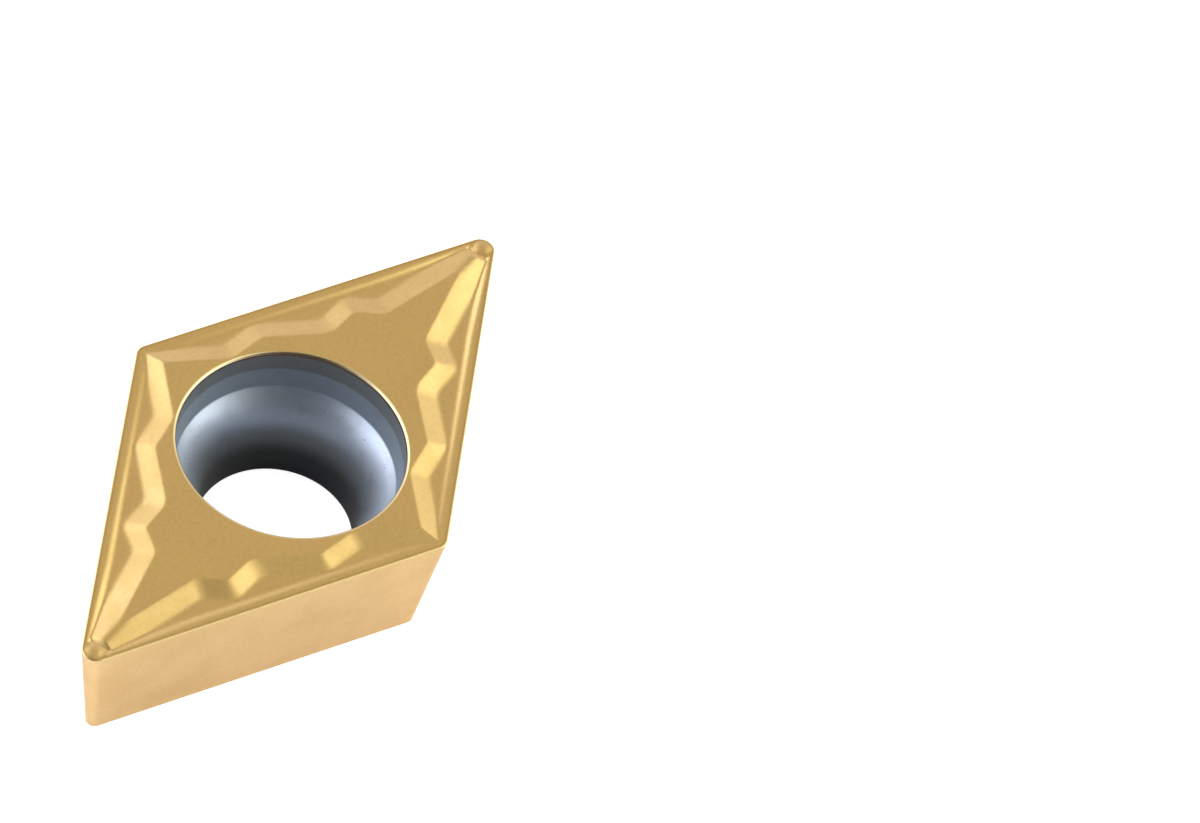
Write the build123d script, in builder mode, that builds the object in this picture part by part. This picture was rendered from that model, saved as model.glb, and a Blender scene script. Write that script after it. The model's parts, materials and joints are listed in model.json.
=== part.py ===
"""Indexable carbide turning insert: a 55 degree rhombus with a moulded, wavy chipbreaker.

Millimetres. The origin is at the middle of the seat face, on the axis of the screw hole.
+Z leaves through the cutting side, and +X runs along the long diagonal to an acute corner.
"""

from build123d import *
from math import cos, radians, sin, tan
import os

# Body
inscribed_circle = 9.525      # across the flats, at the cutting edges
thickness = 3.97              # seat face to cutting edges
corner_angle = 55.0           # at the two acute corners
clearance_angle = 7.0         # lean of the flanks
nose_radius = 0.4             # all four corners, at the cutting edges
seat_corner_radius = 0.25     # the same corners, at the seat
edge_hone = 0.03              # rounding of the cutting edges
seat_edge_break = 0.05        # rounding of the seat's outer edges

# Flat land behind the cutting edges, and the short slope from it down into the groove
land_width = 0.25
nose_land_width = 0.14        # the land narrows towards the acute corners
land_taper_length = 3.4       # along the edge, from the sharp acute corner
slope_run = 0.17              # width of the slope, seen from above
groove_depth = 0.04           # groove floor below the cutting edges
nose_land_length = 1.07       # from the sharp acute corner to the end of the grooves
groove_end_radius = 0.2

# Raised middle and the wavy wall round it. A station is measured along the edge from the sharp
# obtuse corner, and an inset is measured square in from the edge.
plateau_rise = 0.09           # plateau above the cutting edges
wall_run = 0.6                # width of the wall, seen from above
obtuse_point_inset = 0.81
inner_hollow_station = 2.32
inner_hollow_inset = 1.38
inner_crest_station = 3.48
inner_crest_inset = 1.015
middle_hollow_station = 5.38
middle_hollow_inset = 1.615
outer_crest_station = 6.35
outer_crest_inset = 1.16
nose_hollow_station = 7.13
nose_hollow_inset = 1.565
ridge_width = 0.12            # narrow tongue of the plateau at each acute corner
ridge_start = 2.13            # from the sharp acute corner to where the tongue gets that narrow
ridge_end = 1.2               # from the sharp acute corner to the tip of the tongue
point_radius = 0.1            # roundings of the plateau's outline, seen from above
crest_radius = 0.15
hollow_radius = 0.3
ridge_blend_radius = 1.0
ridge_tip_radius = 0.05
point_foot_radius = 0.1       # roundings of the wall's foot, where they differ
crest_foot_radius = 0.38
ridge_tip_foot_radius = 0.05

# Small dome on each acute corner
dome_radius = 0.29
dome_height = 0.03

# Screw hole, from the seat up
bore_radius = 2.25
bore_edge_break = 0.05
bore_height = 0.9             # straight part, above the seat
seat_top_radius = 3.15        # top of the bell that the screw head beds in
seat_top_depth = 1.24         # below the cutting edges
recess_radius = 3.26
recess_depth = 0.6            # below the cutting edges
rim_radius = 0.1              # rounding between the plateau and the recess

# How far the hole's cutting shape runs past the faces that it opens
overrun = 0.5

# Sizes that follow
half_angle = radians(corner_angle / 2)
seat_circle = inscribed_circle - 2 * thickness * tan(radians(clearance_angle))
acute_corner = inscribed_circle / 2 / sin(half_angle)
obtuse_corner = inscribed_circle / 2 / cos(half_angle)
edge_length = acute_corner / cos(half_angle)
nose_centre = acute_corner - nose_radius / sin(half_angle)
plateau_level = thickness + plateau_rise
floor_level = thickness - groove_depth


def from_edge(station, inset):
    """Point of the +X +Y quarter, from its place along a cutting edge and in from it."""
    along = Vector(cos(half_angle), -sin(half_angle))
    inward = Vector(-sin(half_angle), -cos(half_angle))
    return Vector(0, obtuse_corner) + along * station + inward * inset


def on_short_diagonal(inset):
    """Point of the short diagonal at an inset from both edges that meet there."""
    return Vector(0, obtuse_corner - inset / cos(half_angle))


def moved_out(quarter, distance, radii):
    """The corners of one quarter with each side moved out, square to itself, and new radii."""
    points = [point for point, radius in quarter]
    mirrored_first = Vector(-points[1].X, points[1].Y)
    mirrored_last = Vector(points[-1].X, -points[-1].Y)
    chain = [mirrored_first] + points + [mirrored_last]
    corners = []
    for before, corner, after, radius in zip(chain, points, chain[2:], radii):
        side_in = (corner - before).normalized()
        side_out = (after - corner).normalized()
        out_of_in = Vector(-side_in.Y, side_in.X)
        out_of_out = Vector(-side_out.Y, side_out.X)
        shift = (out_of_in + out_of_out) * (distance / (1 + out_of_in.dot(out_of_out)))
        corners.append((corner + shift, radius))
    return corners


def closed_outline(quarter):
    """Draw the outline that one quarter makes when it is mirrored about both diagonals."""
    right = quarter + [(Vector(p.X, -p.Y), r) for p, r in reversed(quarter)]
    left = [(Vector(-p.X, p.Y), r) for p, r in reversed(right[1:-1])]
    points = [point for point, radius in right + left]
    radii = [radius for point, radius in right + left]
    FilletPolyline(*points, radius=radii, close=True)


def rhombus(circle):
    """Sharp corners of the rhombus round a circle."""
    reach = circle / 2 / sin(half_angle)
    width = circle / 2 / cos(half_angle)
    return [Vector(reach, 0), Vector(0, width), Vector(-reach, 0), Vector(0, -width)]


def groove(inward):
    """One quarter of the groove's outer outline, moved in from the land by a distance."""
    width = land_width + inward
    nose_width = nose_land_width + inward
    end = nose_land_length + inward
    half_end = end * tan(half_angle) - nose_width / cos(half_angle)
    return [
        (on_short_diagonal(width), 0),
        (from_edge(edge_length - land_taper_length, width), 0),
        (Vector(acute_corner - end, half_end), groove_end_radius),
    ]


# Wavy outline of the plateau, and of the foot of its wall, one quarter of each
plateau = [
    (on_short_diagonal(obtuse_point_inset), point_radius),
    (from_edge(inner_hollow_station, inner_hollow_inset), hollow_radius),
    (from_edge(inner_crest_station, inner_crest_inset), crest_radius),
    (from_edge(middle_hollow_station, middle_hollow_inset), hollow_radius),
    (from_edge(outer_crest_station, outer_crest_inset), crest_radius),
    (from_edge(nose_hollow_station, nose_hollow_inset), hollow_radius),
    (Vector(acute_corner - ridge_start, ridge_width / 2), ridge_blend_radius),
    (Vector(acute_corner - ridge_end, ridge_width / 2), ridge_tip_radius),
]
foot_radii = [
    point_foot_radius,
    hollow_radius,
    crest_foot_radius,
    hollow_radius,
    crest_foot_radius,
    hollow_radius,
    ridge_blend_radius,
    ridge_tip_foot_radius,
]
wall_foot = moved_out(plateau, wall_run, foot_radii)

# Raised middle: the wavy wall from the groove floor up to the plateau, cut off at the land
with BuildPart() as middle:
    for level, quarter in ((floor_level, wall_foot), (plateau_level, plateau)):
        with BuildSketch(Plane.XY.offset(level)):
            with BuildLine():
                closed_outline(quarter)
            make_face()
    loft(ruled=True)
    with BuildSketch(Plane.XY.offset(floor_level)):
        with BuildLine():
            closed_outline(groove(0))
        make_face()
    extrude(amount=plateau_level - floor_level, mode=Mode.INTERSECT)

# Blank: the outlines at the seat and at the cutting edges, joined by flat flanks and ruled corners
outlines = []
for level, circle, radius in (
    (0, seat_circle, seat_corner_radius),
    (thickness, inscribed_circle, nose_radius),
):
    with BuildSketch(Plane.XY.offset(level)) as outline:
        with BuildLine():
            FilletPolyline(*rhombus(circle), radius=radius, close=True)
        make_face()
    outlines.append(outline.sketch.face())
seat, top = outlines
sides = []
for low, high in zip(seat.outer_wire().edges(), top.outer_wire().edges()):
    if low.geom_type == GeomType.LINE:
        sides.append(Face(Wire.make_polygon([low @ 0, low @ 1, high @ 1, high @ 0])))
    else:
        sides.append(Face.make_surface_from_curves(low, high))

with BuildPart() as insert:
    add(Solid(Shell([seat, top] + sides)))
    fillet(edges().group_by(Axis.Z)[-1], radius=edge_hone)
    fillet(edges().group_by(Axis.Z)[0], radius=seat_edge_break)

    # Groove behind the land, with a sloped outer side
    for level, inward in ((floor_level, slope_run), (thickness, 0)):
        with BuildSketch(Plane.XY.offset(level)):
            with BuildLine():
                closed_outline(groove(inward))
            make_face()
    loft(ruled=True, mode=Mode.SUBTRACT)
    add(middle.part)

    # Dome on each acute corner, with a skirt down to the groove floor
    for side in (-1, 1):
        nose = Plane.XZ.shift_origin((side * nose_centre, 0, thickness))
        with BuildSketch(nose):
            with BuildLine():
                Polyline(
                    (0, dome_height),
                    (0, -groove_depth),
                    (dome_radius, -groove_depth),
                    (dome_radius, 0),
                )
                TangentArc((0, dome_height), (dome_radius, 0), tangent=(1, 0))
            make_face()
        revolve(axis=Axis(nose.origin, (0, 0, 1)))

    # Screw hole: straight bore, bell for the screw head, and a recess under a rounded rim
    with BuildSketch(Plane.XZ):
        with BuildLine():
            Polyline(
                (recess_radius + rim_radius, plateau_level),
                (recess_radius + rim_radius, plateau_level + overrun),
                (0, plateau_level + overrun),
                (0, -overrun),
                (bore_radius + bore_edge_break, -overrun),
                (bore_radius + bore_edge_break, 0),
                (bore_radius, bore_edge_break),
                (bore_radius, bore_height),
            )
            TangentArc(
                (bore_radius, bore_height),
                (seat_top_radius, thickness - seat_top_depth),
                tangent=(0, 1),
            )
            Polyline(
                (seat_top_radius, thickness - seat_top_depth),
                (recess_radius, thickness - recess_depth),
                (recess_radius, plateau_level - rim_radius),
            )
            TangentArc(
                (recess_radius, plateau_level - rim_radius),
                (recess_radius + rim_radius, plateau_level),
                tangent=(0, 1),
            )
        make_face()
    revolve(axis=Axis.Z, mode=Mode.SUBTRACT)

insert.part.label = "insert"
os.makedirs("parts", exist_ok=True)
export_step(insert.part, "parts/insert.step")
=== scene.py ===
"""Looks of a gold-coated carbide turning insert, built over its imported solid.

Lengths are in metres. The frame's origin is at the middle of the seat face, +Z leaves through the
cutting side and +X runs along the long diagonal to an acute corner.
"""

import json

import bmesh
import bpy
import numpy as np
from math import atan2, cos, pi, radians, sin, sqrt, tan
from mathutils import Matrix, Vector


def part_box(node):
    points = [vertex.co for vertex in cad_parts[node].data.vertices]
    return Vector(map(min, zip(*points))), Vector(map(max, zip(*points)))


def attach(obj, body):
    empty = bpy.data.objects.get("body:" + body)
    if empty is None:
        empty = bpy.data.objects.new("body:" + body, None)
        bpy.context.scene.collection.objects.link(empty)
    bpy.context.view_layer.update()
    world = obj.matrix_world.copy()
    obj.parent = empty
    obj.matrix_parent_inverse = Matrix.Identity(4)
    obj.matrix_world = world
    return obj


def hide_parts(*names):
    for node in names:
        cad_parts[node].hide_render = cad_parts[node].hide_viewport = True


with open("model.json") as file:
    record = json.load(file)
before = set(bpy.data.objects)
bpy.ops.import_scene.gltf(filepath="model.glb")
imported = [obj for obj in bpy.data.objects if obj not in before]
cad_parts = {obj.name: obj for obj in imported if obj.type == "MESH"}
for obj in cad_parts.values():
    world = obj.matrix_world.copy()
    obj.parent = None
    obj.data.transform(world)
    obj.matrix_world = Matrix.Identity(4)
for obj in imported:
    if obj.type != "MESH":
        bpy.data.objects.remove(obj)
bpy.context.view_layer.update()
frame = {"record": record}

bl_info = {
    "name": "Carbide Insert",
    "version": (1, 0, 0),
    "blender": (4, 5, 0),
    "location": "3D View > Sidebar > Insert",
    "description": "Builds a coated carbide turning insert, its finish and a small studio",
    "category": "Object",
}

MM = 0.001
NODE = "insert"
MOUNTS = {mount["name"]: mount for mount in frame["record"]["mounts"]}
BORE_RADIUS = MOUNTS["screw_bore"]["dims"]["r_mm"] * MM
PLATEAU_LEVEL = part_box(NODE)[1].z


def length(name, description, value):
    """A size in the panel. The value is in millimetres."""
    return bpy.props.FloatProperty(
        name=name,
        description=description,
        default=value * MM,
        min=0.0,
        precision=5,
        unit="LENGTH",
        subtype="DISTANCE",
    )


def share(name, description, value):
    """A number from 0 to 1 in the panel."""
    return bpy.props.FloatProperty(
        name=name, description=description, default=value, min=0.0, max=1.0, subtype="FACTOR"
    )


def colour(name, description, value):
    """A colour in the panel, in linear light."""
    return bpy.props.FloatVectorProperty(
        name=name, description=description, default=value, min=0.0, max=1.0, size=3, subtype="COLOR"
    )


def angle(name, description, value):
    """An angle in the panel. The value is in degrees."""
    return bpy.props.FloatProperty(
        name=name, description=description, default=radians(value), unit="ROTATION", subtype="ANGLE"
    )


class InsertBody(bpy.types.PropertyGroup):
    """Outline, flanks and edges of the insert."""

    inscribed_circle: length("Inscribed Circle", "Across the flats at the cutting edges", 9.525)
    thickness: length("Thickness", "Seat face to cutting edges", 3.97)
    corner_angle: angle("Corner Angle", "Angle of the two acute corners", 55.0)
    clearance_angle: angle("Clearance Angle", "Lean of the flanks", 7.0)
    nose_radius: length("Nose Radius", "Corner radius at the cutting edges", 0.4)
    seat_corner_radius: length("Seat Corner Radius", "Corner radius at the seat", 0.25)
    edge_hone: length("Edge Hone", "Rounding of the cutting edges", 0.03)
    seat_edge_break: length("Seat Edge Break", "Rounding of the seat's outer edges", 0.05)


class InsertChipbreaker(bpy.types.PropertyGroup):
    """Land, groove, wavy wall, plateau and domes of the cutting side."""

    land_width: length("Land", "Flat land behind the cutting edges", 0.25)
    nose_land_width: length("Nose Land", "Land width at the acute corners", 0.1)
    land_taper_length: length("Land Taper", "Stretch of edge on which the land narrows", 3.9)
    slope_run: length("Slope", "Width of the slope from the land down to the groove", 0.17)
    groove_depth: length("Groove Depth", "Groove floor below the cutting edges, halfway", 0.035)
    groove_fall: length("Groove Fall", "How much deeper the groove gets to its ends", 0.017)
    groove_end_radius: length("Groove End", "Round land where the grooves end", 0.2)
    wall_end: length("Wall End", "Sharp acute corner to the foot of the walls' ends", 1.09)
    wall_end_slope: bpy.props.FloatProperty(
        name="Wall End Slope", description="Rise of the walls from their ends", default=0.6
    )
    wall_run: length("Wall", "Width of the wall, seen from above", 0.6)
    crest_radius: length("Crest Radius", "Rounding of the crests at the plateau", 0.24)
    crest_foot_radius: length("Crest Foot Radius", "Rounding of the crests at their foot", 0.55)
    hollow_radius: length("Hollow Radius", "Rounding of the hollows", 0.5)
    ridge_width: length("Ridge", "Rounded width of the ridge between the last two walls", 0.3)
    ridge_start: length("Ridge Start", "Sharp acute corner to the start of the ridge", 2.13)
    top_softness: length("Top Softness", "Half width of the soft line at the wall's top", 0.05)
    foot_softness: length("Foot Softness", "Half width of the soft line at the wall's foot", 0.09)
    slope_softness: length("Slope Softness", "Half width of the soft lines of the slope", 0.075)
    dome_shift: length("Dome Shift", "Dome past the centre of the nose radius", 0.1)
    dome_radius: length("Dome Radius", "Radius of the small dome on each acute corner", 0.26)
    dome_height: length("Dome Height", "Height of that dome over the land", 0.028)


class InsertHole(bpy.types.PropertyGroup):
    """Screw hole, from the seat up."""

    bore_edge_break: length("Bore Edge Break", "Bevel between the bore and the seat", 0.05)
    bore_height: length("Straight Bore", "Height of the straight part", 0.9)
    seat_top_radius: length("Bell Mouth Radius", "Top of the bell for the screw head", 3.15)
    seat_top_depth: length("Bell Mouth Depth", "Bell mouth below the cutting edges", 1.24)
    recess_radius: length("Recess Radius", "Round wall above the bell", 3.26)
    recess_depth: length("Recess Depth", "Foot of the round wall below the cutting edges", 0.6)
    rim_radius: length("Rim Rounding", "Rounding between the plateau and the recess", 0.1)
    recess_foot_radius: length("Recess Foot", "Rounding at the foot of the round wall", 0.18)
    mouth_edge_radius: length("Bell Mouth Edge", "Rounding at the mouth of the bell", 0.12)


class InsertFinish(bpy.types.PropertyGroup):
    """Colours and roughness of the coating and of the bare carbide."""

    coating: colour("Coating", "Gold of the coated faces", (0.79, 0.54, 0.245))
    coating_dull: colour("Dull Coating", "Gold where the coating is thinner", (0.73, 0.49, 0.21))
    coating_worn: colour("Worn Coating", "Brown along the honed edges", (0.42, 0.27, 0.11))
    # Painted highlight: pale gold on the rounded rim, in place of the soft box it reflects
    coating_rim_highlight: colour("Rim Coating", "Pale gold round the hole", (0.93, 0.78, 0.52))
    coating_stain: colour("Coating Stain", "Red-brown line at its end", (0.22, 0.07, 0.03))
    # Painted highlight: pale gold on the honed edge, in place of the light it reflects
    coating_edge_highlight: colour("Honed Coating", "Pale gold of the honed edge itself", (0.88, 0.66, 0.32))
    edge_wear: share("Edge Wear", "Strength of the brown line along the honed edges", 0.5)
    coating_roughness: share("Coating Roughness", "Roughness of the pressed faces", 0.3)
    carbide: colour("Bare Carbide", "Grey of the uncoated bell", (0.73, 0.78, 0.93))
    # Partly painted shade: the ring's own grey, darkened for the shade it lies in
    carbide_ring_and_shade: colour("Carbide Ring", "Darker rings over the bell", (0.36, 0.41, 0.505))
    # Painted shade deep in the hole, where it lies in shadow; also the colour of the carbide's dark
    # specks
    carbide_specks_and_shade: colour("Dark Carbide", "Stain deep in the hole", (0.07, 0.075, 0.083))
    # Partly painted shade: the upper ring's own tint, darkened for the shade it lies in
    carbide_brown_and_shade: colour("Browned Carbide", "Upper ring, next to the coating", (0.2, 0.19, 0.175))
    carbide_roughness: share("Carbide Roughness", "Roughness of the uncoated hole", 0.4)


class InsertStudio(bpy.types.PropertyGroup):
    """Camera, floor and lamps."""

    focal_length: bpy.props.FloatProperty(
        name="Focal Length", description="Lens, in millimetres", default=369.502
    )
    aim: bpy.props.FloatVectorProperty(
        name="Aim",
        description="Point of the floor in the middle of the picture",
        default=(9.8224 * MM, -4.6215 * MM, 0.0),
        size=3,
        unit="LENGTH",
    )
    distance: length("Distance", "Camera to the aimed point", 353.045)
    azimuth: angle("Azimuth", "Direction of view, turned from +Y", -66.3102)
    elevation: angle("Elevation", "Camera above the floor", 50.5703)
    roll: angle("Roll", "Turn of the camera about its own axis", 13.652)
    floor: colour("Floor", "White of the floor", (0.91, 0.85, 0.875))
    floor_lift: share("Floor Lift", "How far the floor is lifted to white for the camera", 0.9)
    floor_glow: share("Floor Glow", "How far it is lifted for the metal", 0.5)
    horizon: colour("Horizon", "Walls of the room, low down", (0.92, 0.92, 0.93))
    ceiling: colour("Ceiling", "Dim warm ceiling between the soft boxes", (0.527, 0.466, 0.298))
    camera_side: colour("Camera Side", "Dark part round the camera", (0.03, 0.032, 0.036))
    dark_azimuth: angle("Dark Azimuth", "Middle of the dark part, from +X", -155.0)
    dark_elevation: angle("Dark Elevation", "Middle of the dark part, above the floor", 42.0)
    box_height: length("Box Height", "Soft boxes above the floor", 500.0)
    left_box: colour("Left Box", "Colour of the soft boxes but the right one", (0.842, 0.943, 1.0))
    right_box: colour("Right Box", "Colour of the right soft box", (0.843, 0.944, 0.8))
    box_brightness: bpy.props.FloatProperty(
        name="Box Brightness", description="Radiance of the near soft boxes", default=1.8, min=0.0
    )
    side_brightness: bpy.props.FloatProperty(
        name="Side Brightness", description="Radiance of the far soft boxes", default=1.33, min=0.0
    )


# Corners of the plateau in the +X +Y quarter: station along the cutting edge from the sharp obtuse
# corner, and inset from that edge. Crests and hollows take turns.
PLATEAU_CORNERS = (
    (2.32 * MM, 1.38 * MM),
    (3.48 * MM, 1.015 * MM),
    (5.38 * MM, 1.615 * MM),
    (6.35 * MM, 1.16 * MM),
    (7.13 * MM, 1.565 * MM),
)
OBTUSE_POINT_INSET = 0.81 * MM
POINT_RADIUS = 0.03 * MM
RIDGE_HALF_WIDTH = 0.06 * MM

# Mesh density. Rows are counted between the soft lines of the cutting side, from the edge inwards.
EDGE_COLUMNS = 270
ACUTE_COLUMNS = 26
OBTUSE_COLUMNS = 10
ROW_COUNTS = (8, 4, 2, 4, 4, 4, 4, 4, 1)
HONE_STEPS = 5
FLANK_STEPS = 6
HOLE_COLUMNS = 320
BELL_STEPS = 24
RIM_STEPS = 8
RING_STEPS = 4
BELL_START = 3                # first step of the bell below the rounding at its mouth
SAMPLES = 600                 # points at which a column is searched for the soft lines
KNOT_GAP = 0.02               # least gap between those lines, as a share of the nose radius
SUPPORT = 0.015 * MM          # distance of the rows that keep a sharp line sharp
WELD = 0.0001 * MM            # vertices closer than this are one

# Finish, in millimetres. A mask is made from the grain: from where to where in it the mask rises,
# and from which to which strength, if that isn't from 0 to 1.
COATING_GRAIN = {"Mottle_Size": 1.6, "Grain_Size": 0.12, "Streak_Size": 0.07}
COATING_BUMP = 0.0004
COATING_TONE = (0.35, 0.75)
COATING_SPECKS = (0.4, 0.8, 0.0, 0.15)
COATING_MATT = (0.3, 0.8)
MATT_SPREAD = (-0.015, 0.05)  # added to the coating's roughness at both ends of that range
GRINDING_MARKS = (0.4, 0.65, 0.0, 0.6)
GRINDING_HEIGHT = 0.03        # the marks fade out within this height over the seat
WEAR_WIDTH = 0.12             # brown line behind the honed edges
HONE_HIGHLIGHT_WIDTH = 0.015            # painted highlight: pale line on the hone itself
RIM_HIGHLIGHT_WIDTH = 0.13              # painted highlight: pale line round the hole
STAIN_WIDTH = 0.025           # red-brown line where the coating ends
CARBIDE_GRAIN = {"Mottle_Size": 0.5, "Grain_Size": 0.08, "Streak_Size": 0.07}
CARBIDE_BUMP = 0.0008
CARBIDE_SPECKLE = (0.5, 0.9, 0.0, 0.25)
CARBIDE_SPECKS = (0.7, 0.77, 0.0, 0.4)
SHADE_MARGIN = 0.1             # painted shade: the wall is darkest from this far under the bell, down
RING_FADE = 0.03              # half the height over which the colour of a ring changes
BROWN_SHARE = 0.7
BELL_METALLIC = 0.65
RING_METALLIC = 0.15

# Studio
HOLE_SHADE = (2.0, 3.5)       # millimetres from the axis over which the floor's light comes back
CEILING_HEIGHT = (0.45, 0.74)  # sine of the elevation over which the ceiling follows on the walls
DARK_NEARNESS = (0.22, 0.9)   # cosine of the angle to its middle over which the dark part sets in
FLOOR_REACH = 3.0             # half the side of the floor, in metres
FLOOR_LEVEL = -0.02 * MM
SENSOR_WIDTH = 36.0           # of the camera, in millimetres
CLIP_START = 0.01
CLIP_END = 20.0

# Soft boxes: name, the settings for its colour and brightness, its left and right end, and its end
# on the camera's side and the one ahead. The ends are shares of the boxes' height.
SOFT_BOXES = (
    ("soft_box_left", "left_box", "box_brightness", -2.2, -0.34, -0.15, 1.15),
    ("soft_box_right", "right_box", "box_brightness", 0.28, 2.2, -0.15, 1.1),
    ("soft_box_back", "left_box", "box_brightness", -2.2, -0.8, -0.9, -0.15),
    ("soft_box_far_left", "left_box", "side_brightness", -6.0, -2.2, -1.5, 1.5),
    ("soft_box_far_right", "left_box", "side_brightness", 2.2, 6.0, -1.5, 1.5),
)


def smooth_max(first, second, blend):
    """The higher of two heights, rounded where they are closer than the blend."""
    overlap = np.maximum(blend - np.abs(first - second), 0.0) / blend
    return np.maximum(first, second) + overlap**2 * blend / 4


def smooth_min(first, second, blend):
    """The lower of two heights, rounded where they are closer than the blend."""
    return -smooth_max(-first, -second, blend)


class Line:
    """A straight line in plan. Distances are positive on its inner side."""

    def __init__(self, start, end):
        self.start = np.array(start)
        along = np.array(end) - self.start
        along = along / np.linalg.norm(along)
        self.inward = np.array((along[1], -along[0]))

    def inside(self, x, y):
        return (x - self.start[0]) * self.inward[0] + (y - self.start[1]) * self.inward[1]


def corner_blend(radius, first, second):
    """Blend that rounds the corner between two lines to a radius."""
    turn = atan2(
        abs(first.inward[0] * second.inward[1] - first.inward[1] * second.inward[0]),
        first.inward.dot(second.inward),
    )
    return radius * tan(turn / 2) * sin(turn)


class Plan:
    """The insert's plan, worked out from its sizes."""

    def __init__(self, body, breaker):
        self.body = body
        self.breaker = breaker
        self.half = body.corner_angle / 2
        self.seat_circle = body.inscribed_circle - 2 * body.thickness * tan(body.clearance_angle)
        self.acute = body.inscribed_circle / 2 / sin(self.half)
        self.obtuse = body.inscribed_circle / 2 / cos(self.half)
        self.edge_length = self.acute / cos(self.half)
        self.nose_centre = self.acute - body.nose_radius / sin(self.half)
        self.dome_centre = self.nose_centre + breaker.dome_shift
        self.floor_level = body.thickness - breaker.groove_depth
        self.wall_slope = (PLATEAU_LEVEL - self.floor_level) / breaker.wall_run
        self.plateau_lines()
        self.groove_lines()

    def from_edge(self, station, inset):
        """Point of the +X +Y quarter, from its place along the cutting edge and in from it."""
        c, s = cos(self.half), sin(self.half)
        return (station * c - inset * s, self.obtuse - station * s - inset * c)

    def plateau_lines(self):
        """Edges of the plateau in one quarter, from the obtuse corner to the ridge."""
        b = self.breaker
        corners = [(0.0, self.obtuse - OBTUSE_POINT_INSET / cos(self.half))]
        corners += [self.from_edge(*corner) for corner in PLATEAU_CORNERS]
        corners.append((self.acute - b.ridge_start, RIDGE_HALF_WIDTH))
        self.walls = [Line(start, end) for start, end in zip(corners, corners[1:])]

    def groove_lines(self):
        """Outer edges of the groove in one quarter: beside the land, and where the land narrows."""
        b = self.breaker
        taper = self.from_edge(self.edge_length - b.land_taper_length, b.land_width)
        nose_station = self.edge_length - b.nose_land_width / tan(self.half)
        nose = self.from_edge(nose_station, b.nose_land_width)
        self.groove_sides = [Line(self.from_edge(0.0, b.land_width), taper), Line(taper, nose)]

    def inside_plateau(self, x, y):
        """How far a point lies inside the wavy edge of the plateau."""
        b = self.breaker
        obtuse_out, crest_in, crest_out, outer_in, outer_out, to_ridge = self.walls
        inside = smooth_min(obtuse_out.inside(x, y), obtuse_out.inside(-x, y), POINT_RADIUS)
        # Each crest is rounded more and more from the plateau down to the foot of the wall
        for before, after in ((crest_in, crest_out), (outer_in, outer_out)):
            sharp = np.minimum(before.inside(x, y), after.inside(x, y))
            down = np.clip(-sharp / b.wall_run, 0.0, 1.0)
            top = corner_blend(b.crest_radius, before, after)
            foot = corner_blend(b.crest_foot_radius, before, after)
            crest = smooth_min(before.inside(x, y), after.inside(x, y), top + (foot - top) * down)
            hollow = corner_blend(b.hollow_radius, before, after)
            inside = smooth_max(inside, crest, hollow)
        ridge = smooth_min(to_ridge.inside(x, y), to_ridge.inside(x, -y), b.ridge_width)
        return smooth_max(inside, ridge, corner_blend(b.hollow_radius, outer_out, to_ridge))

    def inside_groove(self, x, y):
        """How far a point lies inside the groove's outer edge."""
        b = self.breaker
        side = np.maximum(*(line.inside(x, y) for line in self.groove_sides))
        end = np.hypot(x - self.dome_centre, y) - b.groove_end_radius
        end = np.where(x < self.dome_centre, end, -np.abs(end))
        return smooth_min(side, end, b.groove_end_radius / 3)

    def pocket_height(self, x, groove):
        """Height of the land, of the slope behind it and of the groove, which falls to its ends."""
        b = self.breaker
        level = self.body.thickness
        depth = b.groove_depth + b.groove_fall * (2 * x / self.nose_centre - 1)
        slope = depth / b.slope_run
        soft = b.slope_softness * slope
        pocket = smooth_max(level - slope * groove, level - depth, soft)
        return smooth_min(pocket, level, soft)

    def island_height(self, x, y, groove):
        """Height of the plateau and of the walls round it, out to where the walls end."""
        b = self.breaker
        level = self.body.thickness
        wall = PLATEAU_LEVEL + self.wall_slope * self.inside_plateau(x, y)
        island = smooth_min(wall, PLATEAU_LEVEL, b.top_softness * self.wall_slope)
        island = smooth_min(island, level + groove, b.top_softness)
        end = level - b.dome_height + b.wall_end_slope * (self.acute - b.wall_end - x)
        return smooth_min(island, end, b.dome_height)

    def top_height(self, x, y):
        """Height of the cutting side over the seat."""
        b = self.breaker
        level = self.body.thickness
        x, y = np.abs(x), np.abs(y)
        groove = self.inside_groove(x, y)
        pocket = self.pocket_height(x, groove)
        island = self.island_height(x, y, groove)
        height = smooth_max(pocket, island, b.foot_softness * self.wall_slope)
        height = np.where(groove > -b.slope_softness, height, level)
        reach = np.hypot(x - self.dome_centre, y)
        dome = level + b.dome_height * (1.0 - (reach / b.dome_radius) ** 2)
        return smooth_max(height, dome, b.dome_height / 2)


def outline(plan, circle, radius):
    """Points of one quarter of a rounded rhombus, from the acute corner to the obtuse one."""
    lean = pi / 2 - plan.half
    fan = np.linspace(0.0, lean, ACUTE_COLUMNS + 1)
    acute_centre = (circle / 2 - radius) / sin(plan.half)
    acute = np.stack((acute_centre + radius * np.cos(fan), radius * np.sin(fan)), axis=1)
    fan = np.linspace(lean, pi / 2, OBTUSE_COLUMNS + 1)
    obtuse_centre = (circle / 2 - radius) / cos(plan.half)
    obtuse = np.stack((radius * np.cos(fan), obtuse_centre + radius * np.sin(fan)), axis=1)
    run = np.linspace(0.0, 1.0, EDGE_COLUMNS + 1)[1:-1, None]
    edge = acute[-1] + (obtuse[0] - acute[-1]) * run
    return np.concatenate((acute, edge, obtuse))


def inward_normals(plan):
    """Direction square in from the outline at each of its columns."""
    lean = pi / 2 - plan.half
    turn = np.concatenate(
        (
            np.linspace(0.0, lean, ACUTE_COLUMNS + 1),
            np.full(EDGE_COLUMNS - 1, lean),
            np.linspace(lean, pi / 2, OBTUSE_COLUMNS + 1),
        )
    )
    return -np.stack((np.cos(turn), np.sin(turn)), axis=1)


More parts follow.
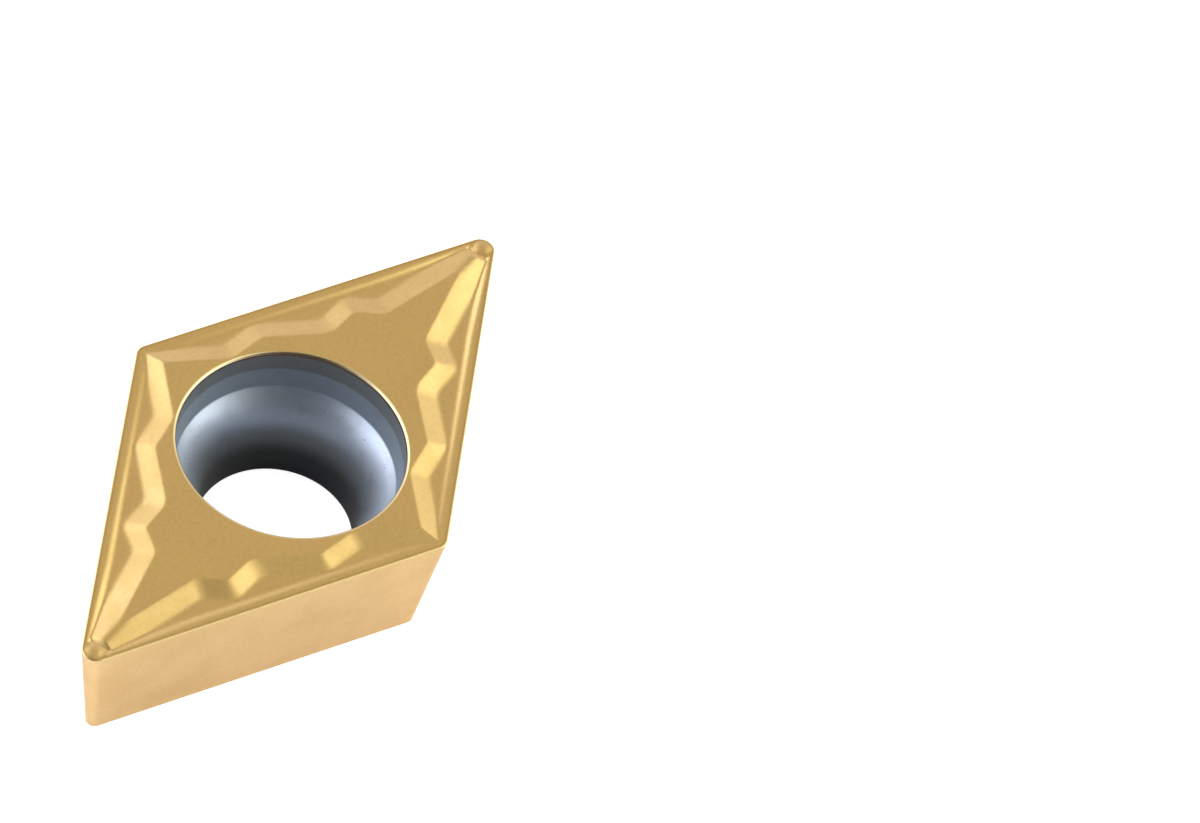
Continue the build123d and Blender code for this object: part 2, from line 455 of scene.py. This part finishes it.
def first_inset(values, insets, level, limit):
    """Inset at which the values along each column first reach a level, or the limit."""
    reached = values >= level
    index = np.maximum(np.argmax(reached, axis=1), 1)
    columns = np.arange(len(values))
    low, high = values[columns, index - 1], values[columns, index]
    step = insets[columns, index] - insets[columns, index - 1]
    found = insets[columns, index - 1] + step * np.clip((level - low) / (high - low), 0.0, 1.0)
    return np.where(reached.any(axis=1), np.minimum(found, limit), limit)


def inset_limits(plan, points, inward):
    """How far in each column may run: to a diagonal, or to the middle of its rounded corner."""
    with np.errstate(divide="ignore", invalid="ignore"):
        limit = np.minimum(points[:, 0] / -inward[:, 0], points[:, 1] / -inward[:, 1])
    fans = np.r_[0 : ACUTE_COLUMNS + 1, len(points) - OBTUSE_COLUMNS - 1 : len(points)]
    limit[fans] = plan.body.nose_radius
    return limit


def spread_out(knots, gap):
    """Move the knots of each column a least gap apart. The first and the last stay in place."""
    last = knots[-1]
    for i in range(1, len(knots)):
        knots[i] = np.maximum(knots[i], knots[i - 1] + gap)
    knots[-1] = last
    for i in range(len(knots) - 2, 0, -1):
        knots[i] = np.minimum(knots[i], knots[i + 1] - gap)


def top_rows(plan, rim_reach):
    """Insets of the mesh rows on the cutting side, column by column, denser at the soft lines."""
    b = plan.breaker
    points = outline(plan, plan.body.inscribed_circle, plan.body.nose_radius)
    inward = inward_normals(plan)
    limit = inset_limits(plan, points, inward)
    longest = 4 * b.wall_run
    insets = np.minimum(limit, longest)[:, None] * np.linspace(0.0, 1.0, SAMPLES)[None, :]
    x = points[:, 0, None] + inward[:, 0, None] * insets
    y = points[:, 1, None] + inward[:, 1, None] * insets
    groove = plan.inside_groove(x, y)
    plateau = plan.inside_plateau(x, y)
    # The rows end behind the plateau's soft edge, or at the rim of the hole if that comes first
    rim = first_inset(-np.hypot(x, y), insets, -rim_reach, limit)
    inner = np.minimum(first_inset(plateau, insets, b.top_softness + SUPPORT, limit), rim)

    hone_end = plan.body.edge_hone / tan((pi / 2 - plan.body.clearance_angle) / 2)
    knots = [np.full(len(points), hone_end)]
    for values, middle, soft in (
        (groove, 0.0, b.slope_softness),
        (groove, b.slope_run, b.slope_softness),
        (plateau, -b.wall_run, b.foot_softness),
        (plateau, 0.0, b.top_softness),
    ):
        knots.append(first_inset(values, insets, middle - soft, limit))
        knots.append(first_inset(values, insets, middle + soft, limit))
    knots.append(inner)
    spread_out(knots, KNOT_GAP * np.minimum(inner, plan.body.nose_radius))

    rows = []
    for near, far, count in zip(knots, knots[1:], ROW_COUNTS):
        rows += [near + (far - near) * step / count for step in range(count)]
    rows.append(knots[-1])
    return np.stack(rows, axis=1)


def edge_arc(line, inward, start, radius, level, turns):
    """Rows that round an edge: its sharp line, moved in and up at each turn about the centre."""
    rows = []
    for turn in turns:
        place = line + inward * (start - radius * np.cos(turn))[:, None]
        rows.append(np.column_stack((place, level + radius * np.sin(turn)))[:, None, :])
    return rows


def quarter_skin(plan, rim_reach):
    """Vertices of one quarter, from the plateau over the cutting edge and flank to the seat.

    The fourth number of each is its distance from the cutting edge, in millimetres.
    """
    body = plan.body
    top = outline(plan, body.inscribed_circle, body.nose_radius)
    seat = outline(plan, plan.seat_circle, body.seat_corner_radius)
    inward = inward_normals(plan)
    lean = np.arctan2(((seat - top) * inward).sum(axis=1), body.thickness)

    insets = top_rows(plan, rim_reach)[:, ::-1]
    places = top[:, None, :] + inward[:, None, :] * insets[:, :, None]
    heights = plan.top_height(places[:, :, 0], places[:, :, 1])
    skin = [np.concatenate((places, heights[:, :, None]), axis=2)]

    # Honed cutting edge
    hone = body.edge_hone
    start = hone / np.tan((pi / 2 - lean) / 2)
    turns = [pi / 2 - (pi / 2 + lean) * step / HONE_STEPS for step in range(1, HONE_STEPS + 1)]
    skin += edge_arc(top, inward, start, hone, body.thickness - hone, turns)
    upper = skin[-1]

    # Broken edge of the seat
    edge_break = body.seat_edge_break
    start = edge_break / np.tan((pi / 2 + lean) / 2)
    turns = [-lean - (pi / 2 - lean) * step / HONE_STEPS for step in range(HONE_STEPS + 1)]
    broken = edge_arc(seat, inward, start, edge_break, edge_break, turns)
    lower = broken[0]

    # Flank between the two, and a first row of the flat seat
    ends = SUPPORT / body.thickness
    shares = [ends, *[step / FLANK_STEPS for step in range(1, FLANK_STEPS)], 1 - ends]
    skin += [upper + (lower - upper) * part for part in shares]
    skin += broken
    flat = seat + inward * (start + 2 * SUPPORT)[:, None]
    skin.append(np.column_stack((flat, np.zeros(len(top))))[:, None, :])
    skin = np.concatenate(skin, axis=1)

    distance = np.full(skin.shape[:2], body.thickness)
    rows = insets.shape[1]
    distance[:, :rows] = insets - insets[:, -1:]
    distance[:, rows : rows + HONE_STEPS] = 0.0
    return np.concatenate((skin, distance[:, :, None] / MM), axis=2)


def closed_skin(quarter):
    """The quarter mirrored about both diagonals, as one closed run of columns."""
    mirrored_x = quarter * np.array((-1.0, 1.0, 1.0, 1.0))
    turned = quarter * np.array((-1.0, -1.0, 1.0, 1.0))
    mirrored_y = quarter * np.array((1.0, -1.0, 1.0, 1.0))
    return np.concatenate((quarter, mirrored_x[::-1][1:], turned[1:], mirrored_y[::-1][1:-1]))


def rounded_corner(before, corner, after, radius, steps):
    """Arc that rounds one corner of a profile."""
    before, corner, after = (np.array(point) for point in (before, corner, after))
    back = (before - corner) / np.linalg.norm(before - corner)
    on = (after - corner) / np.linalg.norm(after - corner)
    turn = pi - np.arccos(np.clip(back.dot(on), -1.0, 1.0))
    tangent = radius * tan(turn / 2)
    middle = (back + on) / np.linalg.norm(back + on)
    centre = corner + middle * (radius / cos(turn / 2))
    start = corner + back * tangent - centre
    end = corner + on * tangent - centre
    arc = []
    for part in (step / steps for step in range(steps + 1)):
        reach = (start * sin((1 - part) * turn) + end * sin(part * turn)) / sin(turn)
        arc.append(tuple(centre + reach))
    return arc


def hole_profile(body, hole):
    """Radius and height down the wall of the hole, from the plateau to the seat."""
    mouth = (hole.seat_top_radius, body.thickness - hole.seat_top_depth)
    foot = (BORE_RADIUS, hole.bore_height)
    recess = (hole.recess_radius, body.thickness - hole.recess_depth)
    rim = (hole.recess_radius, PLATEAU_LEVEL)
    plateau = (hole.recess_radius + 2 * hole.rim_radius, PLATEAU_LEVEL)

    chord = atan2(mouth[0] - foot[0], mouth[1] - foot[1])
    span = sqrt((mouth[0] - foot[0]) ** 2 + (mouth[1] - foot[1]) ** 2)
    radius = span / 2 / sin(chord)
    bell = [
        (foot[0] + radius * (1 - cos(turn)), foot[1] + radius * sin(turn))
        for turn in np.linspace(2 * chord, 0.0, BELL_STEPS + 1)
    ]
    profile = [(hole.recess_radius + hole.rim_radius + SUPPORT, PLATEAU_LEVEL)]
    profile += rounded_corner(plateau, rim, recess, hole.rim_radius, RIM_STEPS)
    profile += rounded_corner(rim, recess, mouth, hole.recess_foot_radius, RING_STEPS)
    below_mouth = bell[BELL_START - 1]
    profile += rounded_corner(recess, mouth, below_mouth, hole.mouth_edge_radius, RING_STEPS)
    profile += bell[BELL_START:]
    profile += [
        (BORE_RADIUS, hole.bore_height / 2),
        (BORE_RADIUS, hole.bore_edge_break + SUPPORT),
        (BORE_RADIUS, hole.bore_edge_break),
        (BORE_RADIUS + hole.bore_edge_break, 0.0),
        (BORE_RADIUS + hole.bore_edge_break + SUPPORT, 0.0),
    ]
    return np.array(profile)


def hole_wall(profile):
    """Vertices of the wall of the hole: its profile turned about the axis."""
    turns = np.arange(HOLE_COLUMNS) * 2 * pi / HOLE_COLUMNS
    return np.stack(
        (
            np.cos(turns)[:, None] * profile[None, :, 0],
            np.sin(turns)[:, None] * profile[None, :, 0],
            np.broadcast_to(profile[None, :, 1], (HOLE_COLUMNS, len(profile))),
        ),
        axis=2,
    )


def strip_faces(columns, rows, first):
    """Quads of a closed run of columns."""
    index = first + np.arange(columns * rows).reshape(columns, rows)
    onward = np.roll(index, -1, axis=0)
    quads = np.stack((index[:, :-1], index[:, 1:], onward[:, 1:], onward[:, :-1]), axis=2)
    return quads.reshape(-1, 4)


def fill_flat(mesh, level):
    """Fill the flat ring between the two open loops at a level."""
    loops = [
        edge
        for edge in mesh.edges
        if edge.is_boundary and all(abs(v.co.z - level) < SUPPORT / 5 for v in edge.verts)
    ]
    bmesh.ops.triangle_fill(mesh, use_beauty=True, edges=loops, normal=(0, 0, 1))


def mark_vertices(data, name, values):
    """Store a number at each vertex, for the materials to read."""
    data.attributes.new(name, "FLOAT", "POINT").data.foreach_set("value", values)


def insert_mesh(plan, hole):
    """The whole skin of the insert: outside, hole, and the flat fills of plateau and seat."""
    # The plateau's rows stop a little outside the first row of the hole
    rim_reach = hole.recess_radius + hole.rim_radius + 1.5 * SUPPORT
    skin = closed_skin(quarter_skin(plan, rim_reach))
    profile = hole_profile(plan.body, hole)
    wall = hole_wall(profile)
    skin_count = skin.shape[0] * skin.shape[1]
    outside = strip_faces(*skin.shape[:2], 0)
    inside = strip_faces(*wall.shape[:2], skin_count)
    vertices = np.concatenate((skin[:, :, :3].reshape(-1, 3), wall.reshape(-1, 3)))
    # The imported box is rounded, so the mesh shrinks by a hair to stay inside it
    vertices *= np.minimum(np.array(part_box(NODE)[1]) / vertices.max(axis=0), 1.0)
    data = bpy.data.meshes.new("coated_insert")
    data.from_pydata(vertices.tolist(), [], np.concatenate((outside, inside)).tolist())

    from_edge = np.full(len(vertices), plan.body.thickness / MM)
    from_edge[:skin_count] = skin[:, :, 3].ravel()
    mark_vertices(data, "edge_distance", from_edge)
    from_rim = np.abs(np.hypot(vertices[:, 0], vertices[:, 1]) - hole.recess_radius)
    at_rim = vertices[:, 2] > PLATEAU_LEVEL - 2 * hole.rim_radius
    mark_vertices(data, "rim_distance", np.where(at_rim, from_rim, 1.0) / MM)

    # The coating ends at the foot of the rounded rim: the hole's wall below it is bare
    coated_rows = np.searchsorted(-profile[:, 1], hole.rim_radius - PLATEAU_LEVEL)
    materials = np.zeros(len(data.polygons), np.int32)
    materials[len(outside) :] = np.tile(np.arange(len(profile) - 1) >= coated_rows, HOLE_COLUMNS)
    data.polygons.foreach_set("material_index", materials)

    mesh = bmesh.new()
    mesh.from_mesh(data)
    bmesh.ops.remove_doubles(mesh, verts=mesh.verts, dist=WELD)
    bmesh.ops.dissolve_degenerate(mesh, edges=mesh.edges, dist=WELD / 2)
    fill_flat(mesh, PLATEAU_LEVEL)
    fill_flat(mesh, 0.0)
    bmesh.ops.recalc_face_normals(mesh, faces=mesh.faces)
    for face in mesh.faces:
        face.smooth = True
    mesh.to_mesh(data)
    mesh.free()
    return data


def add_node(tree, kind, place, **settings):
    """A shader node at a place in its tree, with its settings."""
    node = tree.nodes.new(kind)
    node.location = place
    for name, value in settings.items():
        setattr(node, name, value)
    return node


def set_inputs(node, **values):
    """Set input sockets by name, with spaces written as underscores."""
    for name, value in values.items():
        node.inputs[name.replace("_", " ")].default_value = value


def new_group(name, inputs, outputs):
    """An empty shader node group with named sockets, and its two end nodes."""
    tree = bpy.data.node_groups.new(name, "ShaderNodeTree")
    for label, kind, value in inputs:
        socket = tree.interface.new_socket(label, in_out="INPUT", socket_type=kind)
        if value is not None:
            socket.default_value = value
    for label, kind in outputs:
        tree.interface.new_socket(label, in_out="OUTPUT", socket_type=kind)
    start = add_node(tree, "NodeGroupInput", (-1000, 0))
    end = add_node(tree, "NodeGroupOutput", (800, 0))
    return tree, start, end


def calculated(tree, operation, first, second, place):
    """Two values put together by an operation. Each is a socket or a number."""
    node = add_node(tree, "ShaderNodeMath", place, operation=operation)
    for socket, value in zip(node.inputs, (first, second)):
        if isinstance(value, bpy.types.NodeSocket):
            tree.links.new(value, socket)
        else:
            socket.default_value = value
    return node.outputs[0]


def grain_group():
    """Slow mottling and fine grain of a sintered face, and streaks left by a grinding wheel."""
    tree, start, end = new_group(
        "sintered_grain",
        [
            ("Vector", "NodeSocketVector", None),
            ("Mottle Size", "NodeSocketFloat", 1.5),
            ("Grain Size", "NodeSocketFloat", 0.1),
            ("Streak Size", "NodeSocketFloat", 0.08),
        ],
        [(output, "NodeSocketFloat") for output in ("Mottle", "Grain", "Streaks")],
    )
    along = add_node(tree, "ShaderNodeMapping", (-700, -400))
    set_inputs(along, Scale=(0.03, 1.0, 1.0))
    tree.links.new(start.outputs["Vector"], along.inputs["Vector"])
    for size, output, detail, vector, row in (
        ("Mottle Size", "Mottle", 3.0, start.outputs["Vector"], 200),
        ("Grain Size", "Grain", 1.0, start.outputs["Vector"], 0),
        ("Streak Size", "Streaks", 2.0, along.outputs["Vector"], -200),
    ):
        scale = calculated(tree, "DIVIDE", 1.0, start.outputs[size], (-700, row))
        noise = add_node(tree, "ShaderNodeTexNoise", (-400, row), noise_dimensions="3D")
        set_inputs(noise, Detail=detail, Roughness=0.5)
        tree.links.new(vector, noise.inputs["Vector"])
        tree.links.new(scale, noise.inputs["Scale"])
        tree.links.new(noise.outputs["Fac"], end.inputs[output])
    return tree


def millimetres(tree, place):
    """Position in millimetres."""
    position = add_node(tree, "ShaderNodeTexCoord", place)
    scaled = add_node(tree, "ShaderNodeVectorMath", (place[0] + 200, place[1]), operation="SCALE")
    scaled.inputs["Scale"].default_value = 1 / MM
    tree.links.new(position.outputs["Object"], scaled.inputs[0])
    return scaled.outputs[0]


def ramp_of(tree, value, place, low, high, to_low=0.0, to_high=1.0):
    """Value mapped smoothly from one range to another."""
    node = add_node(tree, "ShaderNodeMapRange", place, interpolation_type="SMOOTHSTEP")
    tree.links.new(value, node.inputs["Value"])
    set_inputs(node, From_Min=low, From_Max=high, To_Min=to_low, To_Max=to_high)
    return node.outputs["Result"]


def mixed(tree, factor, first, second, place):
    """Two colours mixed by a factor. A colour is a socket or three numbers."""
    node = add_node(tree, "ShaderNodeMix", place, data_type="RGBA")
    tree.links.new(factor, node.inputs["Factor"])
    for name, value in (("A", first), ("B", second)):
        socket = [s for s in node.inputs if s.name == name and s.type == "RGBA"][0]
        if isinstance(value, bpy.types.NodeSocket):
            tree.links.new(value, socket)
        else:
            socket.default_value = (*value, 1.0)
    return [s for s in node.outputs if s.type == "RGBA"][0]


def new_material(name):
    """A material with a Principled shader and its tree."""
    material = bpy.data.materials.new(name)
    material.use_nodes = True
    tree = material.node_tree
    return material, tree, tree.nodes["Principled BSDF"]


def painted_by(tree, grain, sizes):
    """What both finishes are painted by: the outputs of the grain, and the height over the seat."""
    place = millimetres(tree, (-1600, 0))
    fine = add_node(tree, "ShaderNodeGroup", (-1200, 0), node_tree=grain)
    set_inputs(fine, **sizes)
    tree.links.new(place, fine.inputs["Vector"])
    split = add_node(tree, "ShaderNodeSeparateXYZ", (-1400, 400))
    tree.links.new(place, split.inputs[0])
    return fine.outputs, split.outputs["Z"]


def edge_mask(tree, attribute, width, place):
    """One at an edge of the mesh, falling to zero at a distance from it in millimetres."""
    node = add_node(tree, "ShaderNodeAttribute", place, attribute_name=attribute)
    return ramp_of(tree, node.outputs["Fac"], (place[0] + 200, place[1]), 0.0, width, 1.0, 0.0)


def layered(tree, base, layers):
    """A colour with others laid over it in turn, each through its own mask."""
    for column, (mask, tint) in enumerate(layers):
        base = mixed(tree, mask, base, tint, (-600 + 150 * column, 300))
    return base


def add_grain_bump(tree, shader, grain, height):
    """Roughen a surface with its fine grain, to a height in millimetres."""
    bump = add_node(tree, "ShaderNodeBump", (-300, -200))
    set_inputs(bump, Strength=1.0, Distance=height * MM)
    tree.links.new(grain, bump.inputs["Height"])
    tree.links.new(bump.outputs["Normal"], shader.inputs["Normal"])


def coating_material(finish, grain):
    """Thin gold coating on the pressed faces and ground flanks, with painted highlights on hone and
    rim.
    """
    material, tree, shader = new_material("nitride_coating")
    fine, height = painted_by(tree, grain, COATING_GRAIN)
    tone = ramp_of(tree, fine["Mottle"], (-900, 200), *COATING_TONE)
    specks = ramp_of(tree, fine["Grain"], (-900, 400), *COATING_SPECKS)
    seat = ramp_of(tree, height, (-1200, -400), 0.0, GRINDING_HEIGHT, 1.0, 0.0)
    scored = ramp_of(tree, fine["Streaks"], (-1200, -600), *GRINDING_MARKS)
    marks = calculated(tree, "MULTIPLY", seat, scored, (-900, -500))
    border = edge_mask(tree, "edge_distance", WEAR_WIDTH, (-1100, 600))
    worn = calculated(tree, "MULTIPLY", border, finish.edge_wear, (-700, 600))
    # Painted highlight along the honed cutting edges
    honed = edge_mask(tree, "edge_distance", HONE_HIGHLIGHT_WIDTH, (-1100, 800))
    # Painted highlight on the rounded rim of the hole
    rim = edge_mask(tree, "rim_distance", RIM_HIGHLIGHT_WIDTH, (-1100, 1000))
    stain = edge_mask(tree, "rim_distance", STAIN_WIDTH, (-1100, 1200))
    layers = (
        (tone, finish.coating_dull),
        (specks, finish.coating_worn),
        (marks, finish.coating_worn),
        (worn, finish.coating_worn),
        (honed, finish.coating_edge_highlight),
        (rim, finish.coating_rim_highlight),
        (stain, finish.coating_stain),
    )
    base = layered(tree, finish.coating, layers)
    tree.links.new(base, shader.inputs["Base Color"])
    shader.inputs["Metallic"].default_value = 1.0
    low, high = (finish.coating_roughness + spread for spread in MATT_SPREAD)
    rough = ramp_of(tree, fine["Mottle"], (-600, 0), *COATING_MATT, low, high)
    tree.links.new(rough, shader.inputs["Roughness"])
    add_grain_bump(tree, shader, fine["Grain"], COATING_BUMP)
    return material


def carbide_material(finish, grain, body, hole):
    """Bare grey carbide of the screw hole, with painted shade deep down and partly in the rings
    above the bell.
    """
    material, tree, shader = new_material("bare_carbide")
    fine, height = painted_by(tree, grain, CARBIDE_GRAIN)
    dark = hole.bore_height / MM - SHADE_MARGIN
    mouth = (body.thickness - hole.seat_top_depth) / MM
    recess = (body.thickness - hole.recess_depth) / MM
    bell_end = (mouth - RING_FADE, mouth + RING_FADE)
    ring_end = (recess - RING_FADE, recess + RING_FADE)
    # Painted shade: the bell gets darker from its mouth down to the bore
    depth = ramp_of(tree, height, (-1200, 400), dark, bell_end[0])
    # Partly painted shade: the two rings above the bell are darker, for their own grey and for the
    # shade in the hole
    lower = ramp_of(tree, height, (-1200, 600), *bell_end)
    upper = ramp_of(tree, height, (-1200, 800), *ring_end, 0.0, BROWN_SHARE)
    speckle = ramp_of(tree, fine["Mottle"], (-900, 200), *CARBIDE_SPECKLE)
    specks = ramp_of(tree, fine["Grain"], (-900, 0), *CARBIDE_SPECKS)
    layers = (
        (depth, finish.carbide),
        (lower, finish.carbide_ring_and_shade),
        (upper, finish.carbide_brown_and_shade),
        (speckle, finish.carbide_specks_and_shade),
        (specks, finish.carbide_specks_and_shade),
    )
    base = layered(tree, finish.carbide_specks_and_shade, layers)
    tree.links.new(base, shader.inputs["Base Color"])
    metal = ramp_of(tree, height, (-400, 0), *bell_end, BELL_METALLIC, RING_METALLIC)
    tree.links.new(metal, shader.inputs["Metallic"])
    shader.inputs["Roughness"].default_value = finish.carbide_roughness
    add_grain_bump(tree, shader, fine["Grain"], CARBIDE_BUMP)
    return material


def floor_material(studio):
    """White floor that keeps a shadow, and is lifted to white where the camera or metal sees it.

    The part of it under the hole isn't lifted for the metal, so the hole stays dark deep down.
    """
    material, tree, shader = new_material("studio_floor")
    shader.inputs["Base Color"].default_value = (*studio.floor, 1.0)
    shader.inputs["Roughness"].default_value = 1.0
    shader.inputs["Specular IOR Level"].default_value = 0.0
    reach = add_node(tree, "ShaderNodeVectorMath", (-1000, 200), operation="LENGTH")
    tree.links.new(millimetres(tree, (-1400, 200)), reach.inputs[0])
    lit = ramp_of(tree, reach.outputs["Value"], (-800, 200), *HOLE_SHADE)
    path = add_node(tree, "ShaderNodeLightPath", (-800, -200)).outputs
    seen = calculated(tree, "MULTIPLY", path["Is Camera Ray"], studio.floor_lift, (-600, 0))
    glow = calculated(tree, "MULTIPLY", path["Is Glossy Ray"], studio.floor_glow, (-600, -200))
    glow = calculated(tree, "MULTIPLY", glow, lit, (-500, 200))
    glass = path["Is Transmission Ray"]
    through = calculated(tree, "MULTIPLY", glass, studio.floor_lift, (-600, -400))
    lift = calculated(tree, "MAXIMUM", seen, glow, (-400, -200))
    lift = calculated(tree, "MAXIMUM", lift, through, (-200, -200))
    shader.inputs["Emission Color"].default_value = (1.0, 1.0, 1.0, 1.0)
    tree.links.new(lift, shader.inputs["Emission Strength"])
    return material


class INSERT_OT_build(bpy.types.Operator):
    """Build the coated insert in place of its plain solid"""

    bl_idname = "insert.build"
    bl_label = "Build Insert"

    def execute(self, context):
        scene = context.scene
        body, hole, finish = scene.insert_body, scene.insert_hole, scene.insert_finish
        plan = Plan(body, scene.insert_chipbreaker)
        piece = bpy.data.objects.new("coated_insert", insert_mesh(plan, hole))
        scene.collection.objects.link(piece)
        grain = grain_group()
        piece.data.materials.append(coating_material(finish, grain))
        piece.data.materials.append(carbide_material(finish, grain, body, hole))
        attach(piece, "root")
        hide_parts(NODE)
        return {"FINISHED"}


def add_camera(scene, studio):
    """The camera, aimed at a point of the floor and turned about its own axis."""
    data = bpy.data.cameras.new("camera")
    data.lens = studio.focal_length
    data.sensor_width = SENSOR_WIDTH
    data.clip_start = CLIP_START
    data.clip_end = CLIP_END
    camera = bpy.data.objects.new("camera", data)
    turn = (
        Matrix.Rotation(studio.azimuth, 4, "Z")
        @ Matrix.Rotation(pi / 2 - studio.elevation, 4, "X")
        @ Matrix.Rotation(studio.roll, 4, "Z")
    )
    back = turn.to_3x3() @ Vector((0, 0, 1))
    camera.matrix_world = Matrix.Translation(Vector(studio.aim) + back * studio.distance) @ turn
    scene.collection.objects.link(camera)
    scene.camera = camera


def add_floor(scene, studio):
    """A large square floor just under the seat."""
    data = bpy.data.meshes.new("studio_floor")
    signs = ((-1, -1), (1, -1), (1, 1), (-1, 1))
    corners = [(x * FLOOR_REACH, y * FLOOR_REACH, FLOOR_LEVEL) for x, y in signs]
    data.from_pydata(corners, [], [(0, 1, 2, 3)])
    data.materials.append(floor_material(studio))
    floor = bpy.data.objects.new("studio_floor", data)
    scene.collection.objects.link(floor)


def add_soft_box(scene, studio, name, tint, brightness, left, right, back, ahead):
    """A flat lamp over the insert, turned with the camera. Its ends are shares of its height."""
    data = bpy.data.lights.new(name, "AREA")
    data.shape = "RECTANGLE"
    data.size = (right - left) * studio.box_height
    data.size_y = (ahead - back) * studio.box_height
    data.color = tint
    data.energy = brightness * pi * data.size * data.size_y
    lamp = bpy.data.objects.new(name, data)
    middle = Vector(((left + right) / 2, (back + ahead) / 2, 1.0)) * studio.box_height
    lamp.matrix_world = Matrix.Rotation(studio.azimuth, 4, "Z") @ Matrix.Translation(middle)
    lamp.visible_camera = False
    scene.collection.objects.link(lamp)


def room_world(studio):
    """The room: white for the camera, pale walls and a dim warm ceiling for everything else."""
    world = bpy.data.worlds.new("room")
    world.use_nodes = True
    tree = world.node_tree
    tree.nodes.clear()
    output = add_node(tree, "ShaderNodeOutputWorld", (600, 0))
    way = add_node(tree, "ShaderNodeTexCoord", (-800, 0))
    split = add_node(tree, "ShaderNodeSeparateXYZ", (-600, 0))
    tree.links.new(way.outputs["Generated"], split.inputs[0])
    high = ramp_of(tree, split.outputs["Z"], (-400, 0), *CEILING_HEIGHT)
    tint = mixed(tree, high, studio.horizon, studio.ceiling, (-200, 0))
    facing = add_node(tree, "ShaderNodeVectorMath", (-600, 200), operation="DOT_PRODUCT")
    tree.links.new(way.outputs["Generated"], facing.inputs[0])
    facing.inputs[1].default_value = Vector(
        (
            cos(studio.dark_azimuth) * cos(studio.dark_elevation),
            sin(studio.dark_azimuth) * cos(studio.dark_elevation),
            sin(studio.dark_elevation),
        )
    )
    near = ramp_of(tree, facing.outputs["Value"], (-400, 200), *DARK_NEARNESS)
    dimmed = mixed(tree, near, tint, studio.camera_side, (0, 200))
    room = add_node(tree, "ShaderNodeBackground", (0, 0))
    tree.links.new(dimmed, room.inputs["Color"])
    white = add_node(tree, "ShaderNodeBackground", (0, -200))
    white.inputs["Color"].default_value = (1.0, 1.0, 1.0, 1.0)
    path = add_node(tree, "ShaderNodeLightPath", (0, 300))
    mix = add_node(tree, "ShaderNodeMixShader", (300, 0))
    tree.links.new(path.outputs["Is Camera Ray"], mix.inputs["Fac"])
    tree.links.new(room.outputs[0], mix.inputs[1])
    tree.links.new(white.outputs[0], mix.inputs[2])
    tree.links.new(mix.outputs[0], output.inputs["Surface"])
    return world


class INSERT_OT_stage(bpy.types.Operator):
    """Add the camera, the floor, the lamps and the room around the insert"""

    bl_idname = "insert.stage"
    bl_label = "Build Studio"

    def execute(self, context):
        scene = context.scene
        studio = scene.insert_studio
        add_camera(scene, studio)
        add_floor(scene, studio)
        for name, tint, brightness, *ends in SOFT_BOXES:
            light = getattr(studio, tint), getattr(studio, brightness)
            add_soft_box(scene, studio, name, *light, *ends)
        scene.world = room_world(studio)
        scene.view_settings.view_transform = "Standard"
        return {"FINISHED"}


class INSERT_PT_panel(bpy.types.Panel):
    """Sizes, finish and studio of the insert"""

    bl_idname = "INSERT_PT_panel"
    bl_label = "Carbide Insert"
    bl_space_type = "VIEW_3D"
    bl_region_type = "UI"
    bl_category = "Insert"

    def draw(self, context):
        for name, group in GROUPS.items():
            box = self.layout.box()
            for key in group.__annotations__:
                box.prop(getattr(context.scene, name), key)
        for operator in (INSERT_OT_build, INSERT_OT_stage):
            self.layout.operator(operator.bl_idname)


GROUPS = {
    "insert_body": InsertBody,
    "insert_chipbreaker": InsertChipbreaker,
    "insert_hole": InsertHole,
    "insert_finish": InsertFinish,
    "insert_studio": InsertStudio,
}
CLASSES = (*GROUPS.values(), INSERT_OT_build, INSERT_OT_stage, INSERT_PT_panel)


def register():
    """Make the classes and the settings known."""
    for kind in CLASSES:
        bpy.utils.register_class(kind)
    for name, group in GROUPS.items():
        setattr(bpy.types.Scene, name, bpy.props.PointerProperty(type=group))


def unregister():
    """Take the settings and the classes away again."""
    for name in GROUPS:
        delattr(bpy.types.Scene, name)
    for kind in reversed(CLASSES):
        bpy.utils.unregister_class(kind)


def main():
    """Build the studio and the insert."""
    register()
    bpy.ops.insert.stage()
    bpy.ops.insert.build()


if __name__ == "__main__":
    main()
